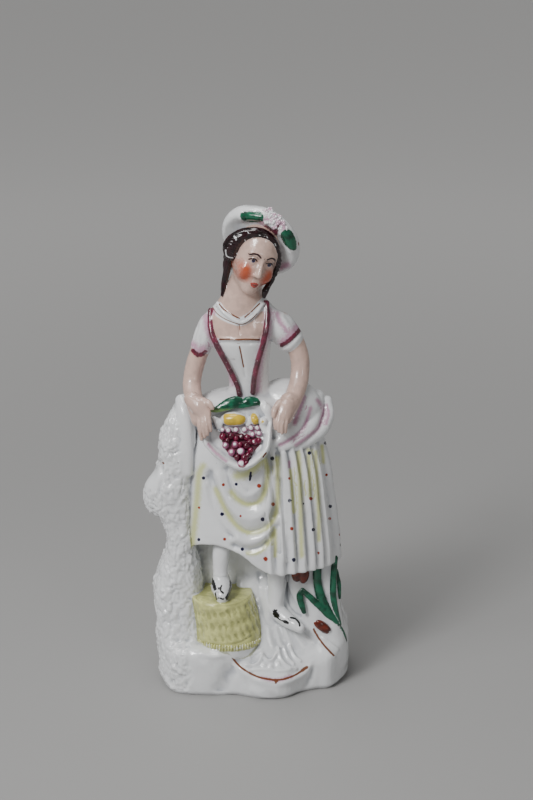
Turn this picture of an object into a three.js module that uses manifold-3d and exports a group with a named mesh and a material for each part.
// A glazed pottery figure of a girl who carries fruit in her gathered apron.
// She stands in front of a tree stump, one foot on an upturned basket, with tulips beside her.
// The whole figure is one pressed and glazed piece, so it is one closed solid.
// Millimetres, +Z up, the front faces -Y, and the origin is at the middle of the underside.

import * as THREE from 'three';
import { mergeVertices } from 'three/addons/utils/BufferGeometryUtils.js';
import Module from 'manifold-3d';

// Driving dimensions of the mound that everything stands on
const BASE = {
  footprint: [
    [-51, -18], [-46, -29], [-36, -33], [-22, -34], [-11, -33.5], [0, -37.5], [9, -38.5], [17, -36.5],
    [25, -30], [33, -26.5], [41, -24.5], [48, -14], [51, -2], [49, 14], [38, 27], [14, 31],
    [-14, 31], [-38, 28], [-51, 16], [-53, -2],
  ],
  rims: [[-50, 26], [-20, 26], [-12, 21], [-2, 14], [10, 12], [20, 14], [30, 18], [44, 23]],
  backRim: 30,
  frontEnds: -24,
  backStarts: -4,
  steps: 30,
};
const BASE_ROWS = [
  { inset: 1.8, share: 0, rise: 0 },
  { inset: 0.3, share: 0, rise: 2.2 },
  { inset: 0, share: 0.62, rise: 0 },
  { inset: 1.4, share: 1, rise: 0 },
  { inset: 8, share: 1, rise: 7 },
  { inset: 17, share: 1, rise: 16 },
  { inset: 27, share: 1, rise: 23 },
];

// Upright rock: each row is height, left, right, front and back
const BACKDROP_ROWS = [
  [3, -46, 49.5, -20, 29],
  [17, -45, 50.6, -15, 29.5],
  [41, -42, 47, -5, 28],
  [62, -38, 44.7, -3, 26],
  [78, -34, 43, -3, 23],
  [94, -26, 34, -2, 18],
];
const BUTTRESS_ROWS = [
  [8, 33, 50.4, -16, 6],
  [19, 31, 50.4, -18, 6],
  [30, 27, 48.8, -18.5, 5],
  [41, 23, 46.8, -17, 4],
  [52, 18, 45.4, -15, 4],
  [64, 18, 44.6, -13, 3],
  [78, 20, 42, -11, 2],
];
const STUMP_ROWS = [
  [3, -52, -22, -28, 24],
  [24, -54, -26, -25, 24],
  [38, -55, -27, -22, 23],
  [52, -56, -27, -20, 22],
  [63, -53, -26, -18.5, 21],
  [76, -48.5, -25, -17, 19],
  [90, -50, -24, -16, 18],
  [102, -54.5, -24, -16, 18],
  [114, -55.5, -25, -15.5, 17],
  [126, -51.5, -26, -14.5, 16],
  [138, -51, -27, -12.5, 15],
  [149, -46.5, -28, -9, 13],
  [157, -41.5, -31, -5, 10],
  [161, -38.5, -33.5, -1.5, 7],
];
const ROCK_SQUARENESS = 0.62;
const BARK = { depth: 0.05, ridges: 5, twist: 0.19, knots: 0.47 };
const STUMP_FOLD = {
  path: [[-34, -3, 160], [-32.5, -8, 148], [-30, -9, 130], [-28, -8, 110]],
  radii: [3.4, 5, 5, 3],
};
const STUMP_KNOB = { centre: [-51.5, -4, 106], radii: [9.2, 9, 11.5] };

// The skirt: each row is height, middle x, half width and half depth
const SKIRT_ROWS = [
  [164, -4, 13, 10],
  [160.5, -6.5, 22, 14],
  [153, -4, 29.6, 17.5],
  [140, 2, 33, 20.5],
  [124, 4.5, 35.5, 23.5],
  [107, 5.2, 37.3, 25],
  [89, 5.6, 39.4, 26.2],
  [70, 6.4, 40.6, 27.2],
];
const SKIRT = {
  middleY: -1,
  rows: 12,
  hemLow: 70,
  hemRise: 15.5,
  hemRiseFrom: 10,
  hemRiseTo: -14,
  pleatPitch: 8.9,
  pleatStart: 2.6,
  pleatCount: 7,
  pleatDepth: 1.0,
  backPleatDepth: 0.8,
  backPleatPitch: 22.25,
  backSteps: 10,
  turnIn: 3,
};
// Swags hang in rings about a point below the apron: distance from it, and crest 1 or valley 0
const SWAG = {
  centre: [-3, 128],
  narrow: 0.54,
  depth: 1.9,
  firstTurn: -75,
  fullTurn: -50,
  top: 126,
  steps: 12,
  rings: [[9, 0.4], [16.6, 1], [20, 0], [27.5, 1], [34.8, 0], [40.7, 1], [45.5, 0], [52, 0.5]],
};

// Bundled overskirt on the left hip: one twisted bundle of folds over a swelling hip
const PANNIER = {
  path: [[30, 2, 160.5], [31.6, -4, 151.5], [26.6, -11.5, 145], [16.5, -18.6, 143.4]],
  halfWidths: [8.6, 10.6, 10.8, 8],
  strands: 4,
  thickness: 5.4,
  face: [0.5, -0.86, 0.1],
};
const HIP = { centre: [16, -1, 155.5], radii: [17.5, 13.5, 16.5] };

// The gathered apron is a shallow bowl in a plane that leans back from the viewer
const APRON = {
  origin: [-8, -15, 163],
  lean: 30.5,
  outline: [
    [2, 38.5], [10.5, 34], [16, 27], [17.5, 17], [17, 5], [2, -1],
    [-15, 3], [-20.5, 13], [-20.5, 22], [-15.5, 29], [-7, 35.5],
  ],
  steps: 20,
};
const APRON_ROWS = [
  { scale: 0.55, depth: 15 },
  { scale: 0.86, depth: 8.5 },
  { scale: 0.98, depth: 2 },
  { scale: 0.985, depth: -1.2 },
  { scale: 0.87, depth: -1.5 },
  { scale: 0.8, depth: 1.6 },
];
const GRAPES = {
  rows: [4, 4, 3, 2, 1],
  radius: 2.2,
  pitch: 4.6,
  rowPitch: 4.2,
  top: [1.5, 17],
  depth: 0.5,
};
const FRUIT = [
  { at: [-2.5, 11.5], radii: [6, 4.4, 4] },
  { at: [8.5, 11], radii: [5.2, 4.2, 3.6] },
];
const APRON_LEAVES = [
  { path: [[-14, 6.5], [-7, 5], [0, 2.5], [4.5, 5]], radii: [0.8, 3.2, 3.6, 1.6] },
  { path: [[3, 5], [8, 2], [12, 2.6], [15, 6]], radii: [1.6, 3.2, 3.2, 1.2] },
];

// Bodice: each row is height, middle x, middle y, half width and half depth
const TORSO_ROWS = [
  [156, -3, -2, 14, 11],
  [164, -3.5, -3, 11, 9],
  [172, -3.6, -3, 10.6, 8.6],
  [180, -5, -3, 12.4, 9.6],
  [188, -6.8, -3, 14.8, 11.2],
  [196, -7.2, -2.6, 16, 11.8],
  [204, -6.4, -1.6, 18, 10.2],
  [210, -6, -0.6, 15.2, 8.6],
  [214.5, -5.6, 0, 10.6, 7.8],
];
const BODICE_BANDS = [
  [
    [-24.5, -4, 208], [-23.5, -9, 198], [-19.5, -12.5, 190],
    [-14, -13, 180], [-9.5, -12.6, 170], [-8.2, -13, 166],
  ],
  [
    [6.5, -4, 212], [6.5, -10, 203], [4.2, -13.2, 194],
    [1.6, -13.6, 184], [-0.6, -12.6, 174], [-1.4, -13, 167],
  ],
];
const BAND_RADIUS = 1.7;
const RIGHT_ARM = {
  path: [
    [-20, 0, 201], [-26, 0, 193], [-30.6, -1, 182],
    [-33.6, -4, 169], [-32, -12, 161], [-29.6, -21, 154],
  ],
  radii: [5.2, 5.2, 5.0, 4.9, 4.7, 4.1],
  sleeve: [[-17, 0, 205], [-23.4, -0.5, 199.4], [-28.2, -0.8, 188.6]],
  sleeveRadii: [5.4, 6.2, 5.5],
};
const LEFT_ARM = {
  path: [
    [13, 0, 201], [18.6, -0.5, 194], [23.2, -1.5, 183.5],
    [23.4, -5, 172], [20, -12.5, 162.5], [15.6, -20.5, 155.5],
  ],
  radii: [5.6, 5.4, 5.1, 4.9, 4.8, 4.3],
  sleeve: [[8.5, 0, 202.5], [13.4, -0.5, 198], [17.6, -0.8, 192.8]],
  sleeveRadii: [6, 8, 7.2],
};
const RIGHT_HAND = {
  palm: [[-29.6, -21, 154], [-28.2, -25, 150]],
  palmRadii: [4.3, 4.4],
  fingers: [[-28, -26.6, 150.6], [-27, -28.6, 146.5], [-25.6, -29.4, 142.6]],
  fingerSpread: [4.7, 4.6, 3.8],
  thumb: [[-26, -23, 154], [-22.4, -28, 148.5]],
};
const LEFT_HAND = {
  palm: [[15.6, -20.5, 155.5], [13.6, -24, 151.6]],
  palmRadii: [4.5, 4.6],
  fingers: [[13.6, -25, 152.4], [12.4, -27.4, 149], [11, -28.6, 146]],
  fingerSpread: [5, 4.9, 4],
  thumb: [[11.4, -22.5, 157], [7.6, -26.6, 152.6]],
};
const FINGERS = { strands: 4, thickness: 2, face: [0, -0.9, 0.45] };
const THUMB_RADII = [1.7, 1.4];
const NECK = { path: [[-6.2, 1, 204], [-5.2, 0, 215], [-3.4, 0, 227]], radii: [10.6, 9.2, 8.8] };
const NECKLACE = {
  path: [
    [-19, -5.5, 212.5], [-15.6, -9.6, 208.6], [-7.6, -12.6, 204.4],
    [-0.6, -10.8, 208], [3.6, -6.5, 212.5],
  ],
  radius: 1.3,
};

// The head in its own frame, then turned and set on the neck: height, half width, front and back
const HEAD_ROWS = [
  [-17.6, 3, -10.4, -5],
  [-16.4, 5.4, -12, -2.5],
  [-14, 7.6, -12.8, 1.5],
  [-11.6, 8.9, -12.5, 5],
  [-9.6, 9.6, -12.5, 7.5],
  [-7.6, 10.2, -12.3, 9.5],
  [-5.6, 10.7, -12.2, 11],
  [-3, 11.2, -12.2, 12.5],
  [0, 11.5, -12.2, 13.5],
  [2.4, 11.6, -12.2, 14],
  [5.4, 11.6, -12.1, 14],
  [9, 11.2, -11.4, 14],
  [13, 10, -9.4, 13],
  [16.6, 7.6, -6, 10.5],
  [19, 4, -2.5, 7],
];
const HEAD = { at: [-0.4, -2.5, 236.5], turn: 20, tilt: 13, nod: 4 };
const FACE_BUMPS = [
  { x: 0, z: -5.2, wide: 1.6, tall: 1.5, out: 2.6 },
  { x: 0, z: -1.8, wide: 1.3, tall: 3.2, out: 1.5 },
  { x: 0, z: -9.7, wide: 2.6, tall: 1.1, out: 0.8 },
  { x: 0, z: -14.2, wide: 2.8, tall: 1.8, out: 0.9 },
  { x: -4.7, z: 1.6, wide: 2.2, tall: 1.7, out: -1.3 },
  { x: 4.7, z: 1.6, wide: 2.2, tall: 1.7, out: -1.3 },
  { x: 0, z: 5.4, wide: 6.5, tall: 1.6, out: 0.5 },
];
const HAIR = { thickness: 1.7, line: 12.6, lineFall: 0.07, sideTurn: 70 };
const HAIR_ROLLS = [
  {
    path: [[0.6, -8, 15.6], [-5.6, -8, 14], [-11, -5.6, 8], [-13.4, -2, -1.4]],
    radii: [1.8, 2.8, 3.8, 3.6],
  },
  {
    path: [[0.6, -8, 15.6], [6.4, -7.6, 13.4], [10.6, -4.4, 7], [11.4, -2, -2.4]],
    radii: [1.8, 2.3, 2.4, 2.2],
  },
];
const RINGLETS = [
  { path: [[-14.4, 0, 236], [-14.2, -1, 228], [-15, -2, 221], [-17, -3, 214]], radii: [3.4, 3, 2.8, 1.6] },
  { path: [[10.4, 2, 232], [7.6, 0, 225], [5, -2, 219], [4, -3, 214.6]], radii: [3, 2.8, 2.5, 1.6] },
];
const HAT = {
  centre: [3.3, 5, 244.8],
  leanBack: 44,
  tilt: 34,
  flatten: 0.95,
  profile: [
    [0, -8.6], [12, -9], [15.6, -8.2], [16, -5], [15.4, -3.8], [19.6, -3.4],
    [21.6, 0.4], [20, 5], [13.4, 8.4], [0, 9.4],
  ],
};

const RIGHT_LEG = {
  path: [[-16.5, -8, 92], [-18.4, -14, 78], [-18.9, -16, 67], [-18.6, -17, 58]],
  radii: [5.4, 4.7, 4.2, 4],
};
const RIGHT_SHOE = {
  path: [[-18.4, -12, 57.5], [-18, -18.5, 56], [-17.4, -24, 53.5]],
  radii: [4.8, 5.6, 3.4],
};
const LEFT_LEG = {
  path: [[6, -4, 90], [10.6, -7, 74], [11.6, -9, 62], [11.4, -11.5, 50], [11, -13, 43]],
  radii: [7, 6.4, 5.6, 4.4, 4],
};
const LEFT_SHOE = {
  path: [[10.4, -11.5, 42], [16.4, -17.5, 38.6], [24, -23, 35.4]],
  radii: [4.6, 4.4, 2.6],
};

// Upturned basket: each row is height, middle x, middle y, half width and half depth
const BASKET_ROWS = [
  [26, -12.9, -14, 17.6, 17.6],
  [29, -12.9, -14, 19, 19],
  [32, -13.2, -14, 18.8, 18.8],
  [33.4, -13.4, -14, 17.8, 17.8],
  [46, -15.4, -13.8, 16.8, 16.8],
  [54.4, -17, -13.6, 16.2, 16.2],
  [56, -17.2, -13.6, 14.6, 14.6],
];

const TULIPS = [
  { at: [25, -14.5, 63], petal: [2.7, 2.6, 5.2], spread: 2.5, lean: 0 },
  { at: [36.4, -18.6, 34.6], petal: [1.9, 2, 4.6], spread: 1.6, lean: -62 },
];
const TULIP_LEAVES = [
  { path: [[48.6, -11, 21], [44.6, -15, 33], [38, -15.4, 50], [33, -14, 68]], radii: [1.2, 2.4, 2.9, 2.2] },
  { path: [[48.6, -11, 21], [44, -14, 40], [41.4, -12.6, 54], [41, -10, 68]], radii: [1.2, 2.2, 2.4, 1.8] },
  { path: [[46.4, -8, 46], [45.2, -6, 56], [43, -4, 68]], radii: [0.9, 1.5, 1.2] },
  { path: [[43.6, -16.6, 30], [35, -18.6, 41], [27, -17, 51.5]], radii: [1.3, 1.8, 1] },
  { path: [[27, -17, 51.5], [24, -16, 47.5], [26.4, -18, 40.5]], radii: [1, 1.9, 1.5] },
];

const GLAZE_COLOUR = 0xe9e9ec;
const GLAZE_ROUGHNESS = 0.22;

const wasm = await Module();
wasm.setup();

const point = (place) => new THREE.Vector3(...place);
const radians = THREE.MathUtils.degToRad;
const smooth = (value, from, to) => {
  const share = THREE.MathUtils.clamp((value - from) / (to - from), 0, 1);
  return share * share * (3 - 2 * share);
};

// Reads a table whose rows rise or fall in their first number, at any value between them
function rowAt(rows, value) {
  const falling = rows[0][0] > rows[rows.length - 1][0];
  const along = (row) => (falling ? -row[0] : row[0]);
  const goal = falling ? -value : value;
  let next = rows.findIndex((row) => along(row) >= goal);
  next = next < 0 ? rows.length - 1 : Math.max(next, 1);
  const before = rows[next - 1];
  const after = rows[next];
  const share = THREE.MathUtils.clamp((goal - along(before)) / (along(after) - along(before)), 0, 1);
  return before.map((number, column) => THREE.MathUtils.lerp(number, after[column], share));
}

// Evenly spaced places on a smooth closed outline through flat corners
function evenly(corners, steps) {
  const outline = new THREE.CatmullRomCurve3(corners.map(([x, y]) => new THREE.Vector3(x, y, 0)), true);
  return Array.from({ length: steps }, (_, step) => outline.getPointAt(step / steps));
}

function middleOf(ring) {
  const middle = new THREE.Vector3();
  ring.forEach((place) => middle.add(place));
  return middle.divideScalar(ring.length);
}

// Oval rings, from rows of height, middle x, middle y, half width and half depth
function ovals(rows, sides) {
  return rows.map(([height, middleX, middleY, halfWidth, halfDepth]) => {
    return Array.from({ length: sides }, (_, step) => {
      const turn = (2 * Math.PI * step) / sides;
      const x = middleX + halfWidth * Math.cos(turn);
      return new THREE.Vector3(x, middleY + halfDepth * Math.sin(turn), height);
    });
  });
}

// A closed skin over a row of rings, with a fan over each end
function loft(rings) {
  const around = rings[0].length;
  const places = rings.flat();
  const firstEnd = places.push(middleOf(rings[0])) - 1;
  const lastEnd = places.push(middleOf(rings[rings.length - 1])) - 1;
  const lastRing = (rings.length - 1) * around;
  const faces = [];
  for (let step = 0; step < around; step += 1) {
    const next = (step + 1) % around;
    faces.push(firstEnd, next, step);
    faces.push(lastEnd, lastRing + step, lastRing + next);
    for (let ring = 0; ring < lastRing; ring += around) {
      faces.push(ring + step, ring + next, ring + around + next);
      faces.push(ring + step, ring + around + next, ring + around + step);
    }
  }
  const geometry = new THREE.BufferGeometry();
  geometry.setFromPoints(places);
  geometry.setIndex(faces);
  return geometry;
}

// A tapered limb along a smooth path with rounded ends; flat thins it along the face direction
function limb(path, radii, { sides = 8, steps = 6, flat = 1, face = [0, -1, 0] } = {}) {
  const curve = new THREE.CatmullRomCurve3(path.map(point), false, 'centripetal');
  const facing = point(face);
  const ringAt = (along, offset, scale) => {
    const at = along * (radii.length - 1);
    const before = Math.min(Math.floor(at), radii.length - 2);
    const radius = THREE.MathUtils.lerp(radii[before], radii[before + 1], at - before);
    const heading = curve.getTangent(along);
    const side = new THREE.Vector3().crossVectors(facing, heading).normalize();
    const out = new THREE.Vector3().crossVectors(heading, side).normalize();
    const middle = curve.getPoint(along).addScaledVector(heading, offset * radius);
    return Array.from({ length: sides }, (_, step) => {
      const turn = (2 * Math.PI * step) / sides;
      const place = middle.clone();
      place.addScaledVector(side, Math.cos(turn) * radius * scale);
      return place.addScaledVector(out, Math.sin(turn) * radius * scale * flat);
    });
  };
  const rings = [ringAt(0, -0.75, 0.55)];
  for (let step = 0; step <= steps; step += 1) {
    rings.push(ringAt(step / steps, 0, 1));
  }
  rings.push(ringAt(1, 0.75, 0.55));
  return loft(rings);
}

// Strands side by side, such as folds or fingers, in one piece: ridged towards the face direction
function bundle(path, halfWidths, { strands, thickness, face, steps }) {
  const curve = new THREE.CatmullRomCurve3(path.map(point), false, 'centripetal');
  const facing = point(face);
  const section = Array.from({ length: 2 * strands + 1 }, (_, step) => {
    const across = -1 + step / strands;
    const crowned = Math.sqrt(1 - 0.75 * across * across);
    return [across, step % 2 === 1 ? crowned : crowned * 0.55];
  });
  section.push([0.75, -0.7], [0, -0.9], [-0.75, -0.7]);
  const ringAt = (along, offset, scale) => {
    const at = along * (halfWidths.length - 1);
    const before = Math.min(Math.floor(at), halfWidths.length - 2);
    const halfWidth = THREE.MathUtils.lerp(halfWidths[before], halfWidths[before + 1], at - before);
    const heading = curve.getTangent(along);
    const side = new THREE.Vector3().crossVectors(facing, heading).normalize();
    const out = new THREE.Vector3().crossVectors(heading, side).normalize();
    const middle = curve.getPoint(along).addScaledVector(heading, offset * thickness);
    return section.map(([across, up]) => {
      const place = middle.clone().addScaledVector(side, across * halfWidth * scale);
      return place.addScaledVector(out, up * thickness * scale);
    });
  };
  const rings = [ringAt(0, -0.6, 0.7)];
  for (let step = 0; step <= steps; step += 1) {
    rings.push(ringAt(step / steps, 0, 1));
  }
  rings.push(ringAt(1, 0.6, 0.7));
  return loft(rings);
}

// An egg-shaped swelling, turned about the Y axis
function swelling(centre, radii, { around = 12, up = 8, lean = 0 } = {}) {
  const egg = new THREE.SphereGeometry(1, around, up);
  egg.rotateX(Math.PI / 2);
  egg.scale(...radii);
  egg.rotateY(radians(lean));
  egg.translate(...centre);
  return egg;
}

// A boulder-like upright with rounded corners, from rows of height, left, right, front and back
function upright(rows, heights, sides, roughen = () => 0) {
  const bend = (number) => Math.sign(number) * Math.abs(number) ** ROCK_SQUARENESS;
  const rings = heights.map((height) => {
    const [, left, right, front, back] = rowAt(rows, height);
    return Array.from({ length: sides }, (_, step) => {
      const turn = (2 * Math.PI * step) / sides;
      const rough = 1 + roughen(turn, height);
      const x = (left + right) / 2 + (bend(Math.cos(turn)) * (right - left) * rough) / 2;
      const y = (front + back) / 2 + (bend(Math.sin(turn)) * (back - front) * rough) / 2;
      return new THREE.Vector3(x, y, height);
    });
  });
  return loft(rings);
}

function signedVolume(places, faces) {
  const corner = (face) => new THREE.Vector3().fromArray(places, faces[face] * 3);
  let volume = 0;
  for (let face = 0; face < faces.length; face += 3) {
    volume += corner(face).dot(corner(face + 1).cross(corner(face + 2))) / 6;
  }
  return volume;
}

function toSolid(geometry) {
  const plain = geometry.clone();
  ['normal', 'uv'].forEach((name) => plain.deleteAttribute(name));
  const merged = mergeVertices(plain);
  const places = merged.attributes.position.array;
  const faces = merged.index.array;
  const outward = signedVolume(places, faces) > 0;
  const triVerts = Uint32Array.from(faces);
  if (!outward) {
    for (let face = 0; face < triVerts.length; face += 3) {
      [triVerts[face], triVerts[face + 1]] = [triVerts[face + 1], triVerts[face]];
    }
  }
  const mesh = new wasm.Mesh({ numProp: 3, vertProperties: Float32Array.from(places), triVerts });
  return new wasm.Manifold(mesh);
}

const join = (geometries) => geometries.map(toSolid).reduce((whole, piece) => whole.add(piece));

function rimHeight(x, y) {
  const [, front] = rowAt(BASE.rims, x);
  return THREE.MathUtils.lerp(front, BASE.backRim, smooth(y, BASE.frontEnds, BASE.backStarts));
}

// The low mound: a straight wall with a sloping top
function mound() {
  const edge = evenly(BASE.footprint, BASE.steps);
  const rings = BASE_ROWS.map(({ inset, share, rise }) => edge.map((place) => {
    const kept = 1 - inset / place.length();
    const height = share * rimHeight(place.x, place.y) + rise;
    return new THREE.Vector3(place.x * kept, place.y * kept, height);
  }));
  return [loft(rings)];
}

function rocks() {
  const heights = (rows) => rows.map(([height]) => height);
  const bark = (turn, height) => {
    const ridge = Math.sin(BARK.ridges * turn + height * BARK.twist);
    return BARK.depth * ridge * Math.sin(height * BARK.knots);
  };
  return [
    upright(BACKDROP_ROWS, heights(BACKDROP_ROWS), 16),
    upright(BUTTRESS_ROWS, heights(BUTTRESS_ROWS), 10),
    upright(STUMP_ROWS, heights(STUMP_ROWS), 16, bark),
    swelling(STUMP_KNOB.centre, STUMP_KNOB.radii, { around: 9, up: 6 }),
    limb(STUMP_FOLD.path, STUMP_FOLD.radii, { sides: 7, steps: 3 }),
  ];
}

const hemHeight = (x) => SKIRT.hemLow + SKIRT.hemRise * smooth(x, SKIRT.hemRiseFrom, SKIRT.hemRiseTo);

function swagDepth(x, height) {
  const [middleX, middleZ] = SWAG.centre;
  const away = Math.hypot((x - middleX) / SWAG.narrow, height - middleZ);
  const [, crest] = rowAt(SWAG.rings, away);
  return SWAG.depth * (crest - 0.5);
}

// Pleats run down the front of the left hip, swags hang in front, and the back is broadly fluted
function skirtRelief(turn, x, height) {
  const wave = (pitch, start) => Math.cos((2 * Math.PI * (turn - start)) / pitch);
  const { pleatPitch, pleatStart, pleatCount, pleatDepth, backPleatDepth } = SKIRT;
  const lastPleat = pleatStart + pleatPitch * (pleatCount - 1);
  if (turn >= pleatStart && turn <= lastPleat) {
    return pleatDepth * wave(pleatPitch, pleatStart);
  }
  if (turn < pleatStart && turn > SWAG.firstTurn && height < SWAG.top) {
    const nearPleats = smooth(turn, pleatStart - pleatPitch / 2, pleatStart);
    const share = smooth(turn, SWAG.firstTurn, SWAG.fullTurn) * (1 - nearPleats);
    return THREE.MathUtils.lerp(pleatDepth, swagDepth(x, height), share);
  }
  return backPleatDepth * wave(SKIRT.backPleatPitch, lastPleat);
}

// Angles about the skirt in degrees, from straight ahead towards the left hip: close where it is pleated
function skirtTurns() {
  const { pleatPitch, pleatStart, pleatCount } = SKIRT;
  const lastPleat = pleatStart + pleatPitch * (pleatCount - 1);
  const spread = (from, to, steps) => {
    return Array.from({ length: steps }, (_, step) => from + ((to - from) * step) / steps);
  };
  return [
    ...spread(pleatStart, lastPleat, 3 * (pleatCount - 1)),
    ...spread(lastPleat, SWAG.firstTurn + 360, SKIRT.backSteps),
    ...spread(SWAG.firstTurn, pleatStart, SWAG.steps),
  ];
}

function skirt() {
  const top = SKIRT_ROWS[0][0];
  const turns = skirtTurns();
  const [, hemMiddleX, hemHalfWidth] = SKIRT_ROWS[SKIRT_ROWS.length - 1];
  const ringAt = (share, inset) => turns.map((turn) => {
    const across = Math.sin(radians(turn));
    const hem = hemHeight(hemMiddleX + hemHalfWidth * across);
    const height = THREE.MathUtils.lerp(top, hem, share);
    const [, middleX, halfWidth, halfDepth] = rowAt(SKIRT_ROWS, height);
    const relief = Math.min(1, 3 * share) * skirtRelief(turn, middleX + halfWidth * across, height);
    const out = 1 + (relief - inset) / Math.sqrt(halfWidth * halfDepth);
    return new THREE.Vector3(
      middleX + halfWidth * out * across,
      SKIRT.middleY - halfDepth * out * Math.cos(radians(turn)),
      height + inset,
    );
  });
  const rings = Array.from({ length: SKIRT.rows }, (_, row) => ringAt(row / (SKIRT.rows - 1), 0));
  rings.push(ringAt(1, SKIRT.turnIn));
  return [loft(rings)];
}

function pannier() {
  const { path, halfWidths, ...shape } = PANNIER;
  return [
    bundle(path, halfWidths, { ...shape, steps: 6 }),
    swelling(HIP.centre, HIP.radii, { around: 11, up: 7 }),
  ];
}

// A place in the leaning plane of the apron: across, down from the waist, and in behind it
function onApron(across, down, depth) {
  const lean = radians(APRON.lean);
  const [x, y, z] = APRON.origin;
  return [
    x + across,
    y - down * Math.sin(lean) + depth * Math.cos(lean),
    z - down * Math.cos(lean) - depth * Math.sin(lean),
  ];
}

function apron() {
  const edge = evenly(APRON.outline, APRON.steps);
  const middle = middleOf(edge);
  const rings = APRON_ROWS.map(({ scale, depth }) => edge.map((place) => {
    const across = middle.x + (place.x - middle.x) * scale;
    const down = middle.y + (place.y - middle.y) * scale;
    return point(onApron(across, down, depth));
  }));
  return [loft(rings)];
}

function fruit() {
  const pieces = [];
  const [middle, top] = GRAPES.top;
  GRAPES.rows.forEach((count, row) => {
    for (let berry = 0; berry < count; berry += 1) {
      const across = middle + (berry - (count - 1) / 2) * GRAPES.pitch;
      const place = onApron(across, top + row * GRAPES.rowPitch, GRAPES.depth);
      pieces.push(swelling(place, [GRAPES.radius, GRAPES.radius, GRAPES.radius], { around: 5, up: 3 }));
    }
  });
  FRUIT.forEach(({ at, radii }) => pieces.push(swelling(onApron(...at, 0), radii, { around: 8, up: 6 })));
  APRON_LEAVES.forEach(({ path, radii }) => {
    const places = path.map(([across, down]) => onApron(across, down, -1.4));
    pieces.push(limb(places, radii, { sides: 6, steps: 5, flat: 0.4, face: [0, -0.86, 0.5] }));
  });
  return pieces;
}

function bodice() {
  const bands = BODICE_BANDS.map((path) => {
    return limb(path, path.map(() => BAND_RADIUS), { sides: 5, steps: 6 });
  });
  const necklace = limb(NECKLACE.path, NECKLACE.path.map(() => NECKLACE.radius), { sides: 5, steps: 6 });
  const torso = loft(ovals(TORSO_ROWS, 18));
  return [torso, ...bands, necklace, limb(NECK.path, NECK.radii, { sides: 12, steps: 2 })];
}

function arm({ path, radii, sleeve, sleeveRadii }) {
  return [
    limb(path, radii, { sides: 8, steps: 8 }),
    limb(sleeve, sleeveRadii, { sides: 9, steps: 3 }),
  ];
}

function hand({ palm, palmRadii, fingers, fingerSpread, thumb }) {
  return [
    limb(palm, palmRadii, { sides: 8, steps: 1, flat: 0.75 }),
    bundle(fingers, fingerSpread, { ...FINGERS, steps: 1 }),
    limb(thumb, THUMB_RADII, { sides: 5, steps: 1 }),
  ];
}

const headTurn = new THREE.Matrix4()
  .makeRotationZ(radians(HEAD.turn))
  .multiply(new THREE.Matrix4().makeRotationY(radians(HEAD.tilt)))
  .multiply(new THREE.Matrix4().makeRotationX(radians(HEAD.nod)))
  .setPosition(...HEAD.at);

// Calm, regular features raised on the front of the head
function faceRelief(x, z) {
  return FACE_BUMPS.reduce((sum, bump) => {
    const across = (x - bump.x) / bump.wide;
    const up = (z - bump.z) / bump.tall;
    return sum + bump.out * Math.exp(-across * across - up * up);
  }, 0);
}

function head() {
  const frontTurns = Array.from({ length: 15 }, (_, step) => -63 + step * 9);
  const backTurns = Array.from({ length: 5 }, (_, step) => 100 + step * 40);
  const rings = HEAD_ROWS.map(([height, halfWidth, front, back]) => {
    return [...frontTurns, ...backTurns].map((turn) => {
      const bearing = radians(turn);
      const middleY = front + halfWidth;
      const x = halfWidth * Math.sin(bearing);
      const facing = Math.cos(bearing);
      const y = facing > 0 ? middleY - halfWidth * facing : middleY - (back - middleY) * facing;
      const haired = Math.abs(turn) > HAIR.sideTurn || height > HAIR.line - HAIR.lineFall * x * x;
      const relief = haired ? HAIR.thickness * smooth(height, -14, -6) : faceRelief(x, height);
      const across = haired ? relief * Math.sin(bearing) : 0;
      return new THREE.Vector3(x + across, y - relief * (haired ? facing : 1), height);
    });
  });
  const pieces = [
    loft(rings),
    ...HAIR_ROLLS.map(({ path, radii }) => limb(path, radii, { sides: 7, steps: 5, face: [0.2, 1, 0.3] })),
  ];
  pieces.forEach((piece) => piece.applyMatrix4(headTurn));
  const ringlets = RINGLETS.map(({ path, radii }) => limb(path, radii, { sides: 6, steps: 4 }));
  return [...pieces, ...ringlets];
}

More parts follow.
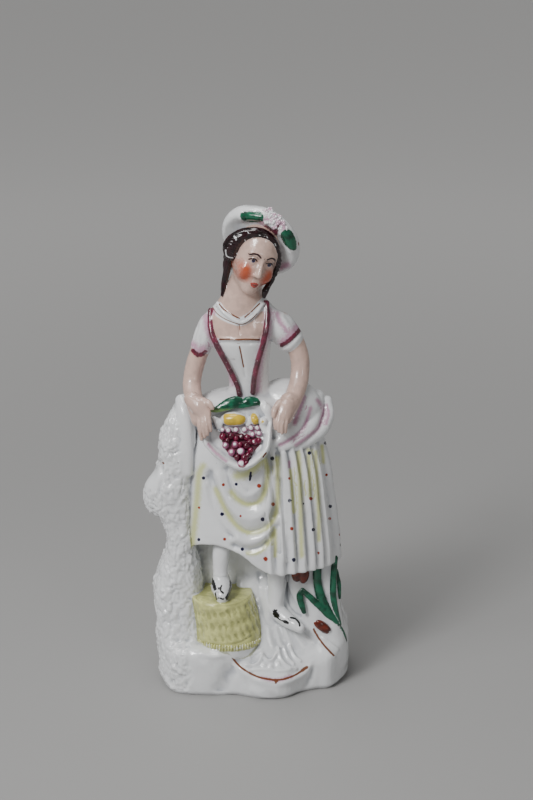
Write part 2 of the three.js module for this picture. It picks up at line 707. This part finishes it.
// A soft round cap worn on the back of the head, with a rolled band
function hat() {
  const profile = HAT.profile.map(([radius, height]) => new THREE.Vector2(radius, height));
  const cap = new THREE.LatheGeometry(profile, 20);
  cap.rotateX(Math.PI / 2);
  cap.scale(1, HAT.flatten, 1);
  cap.rotateX(-radians(HAT.leanBack));
  cap.rotateY(radians(HAT.tilt));
  cap.translate(...HAT.centre);
  return [cap];
}

function legs() {
  return [RIGHT_LEG, RIGHT_SHOE, LEFT_LEG, LEFT_SHOE].map(({ path, radii }) => {
    return limb(path, radii, { sides: 8, steps: 3, face: [1, 0, 0] });
  });
}

const basket = () => [loft(ovals(BASKET_ROWS, 20))];

function tulips() {
  const petals = TULIPS.flatMap(({ at: [x, y, z], petal, spread, lean }) => {
    return [-1, 0, 1].map((side) => {
      const across = side * spread * Math.cos(radians(lean));
      const down = side * spread * Math.sin(radians(lean));
      const forward = side === 0 ? 1 : 0;
      const place = [x + across, y - forward, z - down];
      return swelling(place, petal, { around: 5, up: 4, lean: lean + side * 10 });
    });
  });
  const leaves = TULIP_LEAVES.map(({ path, radii }) => {
    return limb(path, radii, { sides: 4, steps: 4, flat: 0.7 });
  });
  return [...petals, ...leaves];
}

const whole = join([
  ...mound(),
  ...rocks(),
  ...skirt(),
  ...pannier(),
  ...apron(),
  ...fruit(),
  ...bodice(),
  ...arm(RIGHT_ARM),
  ...arm(LEFT_ARM),
  ...hand(RIGHT_HAND),
  ...hand(LEFT_HAND),
  ...head(),
  ...hat(),
  ...legs(),
  ...basket(),
  ...tulips(),
]);

function toGeometry(solid) {
  const { vertProperties, triVerts } = solid.getMesh();
  const geometry = new THREE.BufferGeometry();
  geometry.setAttribute('position', new THREE.BufferAttribute(Float32Array.from(vertProperties), 3));
  geometry.setIndex(new THREE.BufferAttribute(Uint32Array.from(triVerts), 1));
  geometry.computeVertexNormals();
  return geometry;
}

const glaze = new THREE.MeshStandardMaterial({
  color: GLAZE_COLOUR,
  roughness: GLAZE_ROUGHNESS,
  metalness: 0,
});
const figure = new THREE.Mesh(toGeometry(whole), glaze);
figure.name = 'figure';

const group = new THREE.Group();
group.add(figure);

export default group;
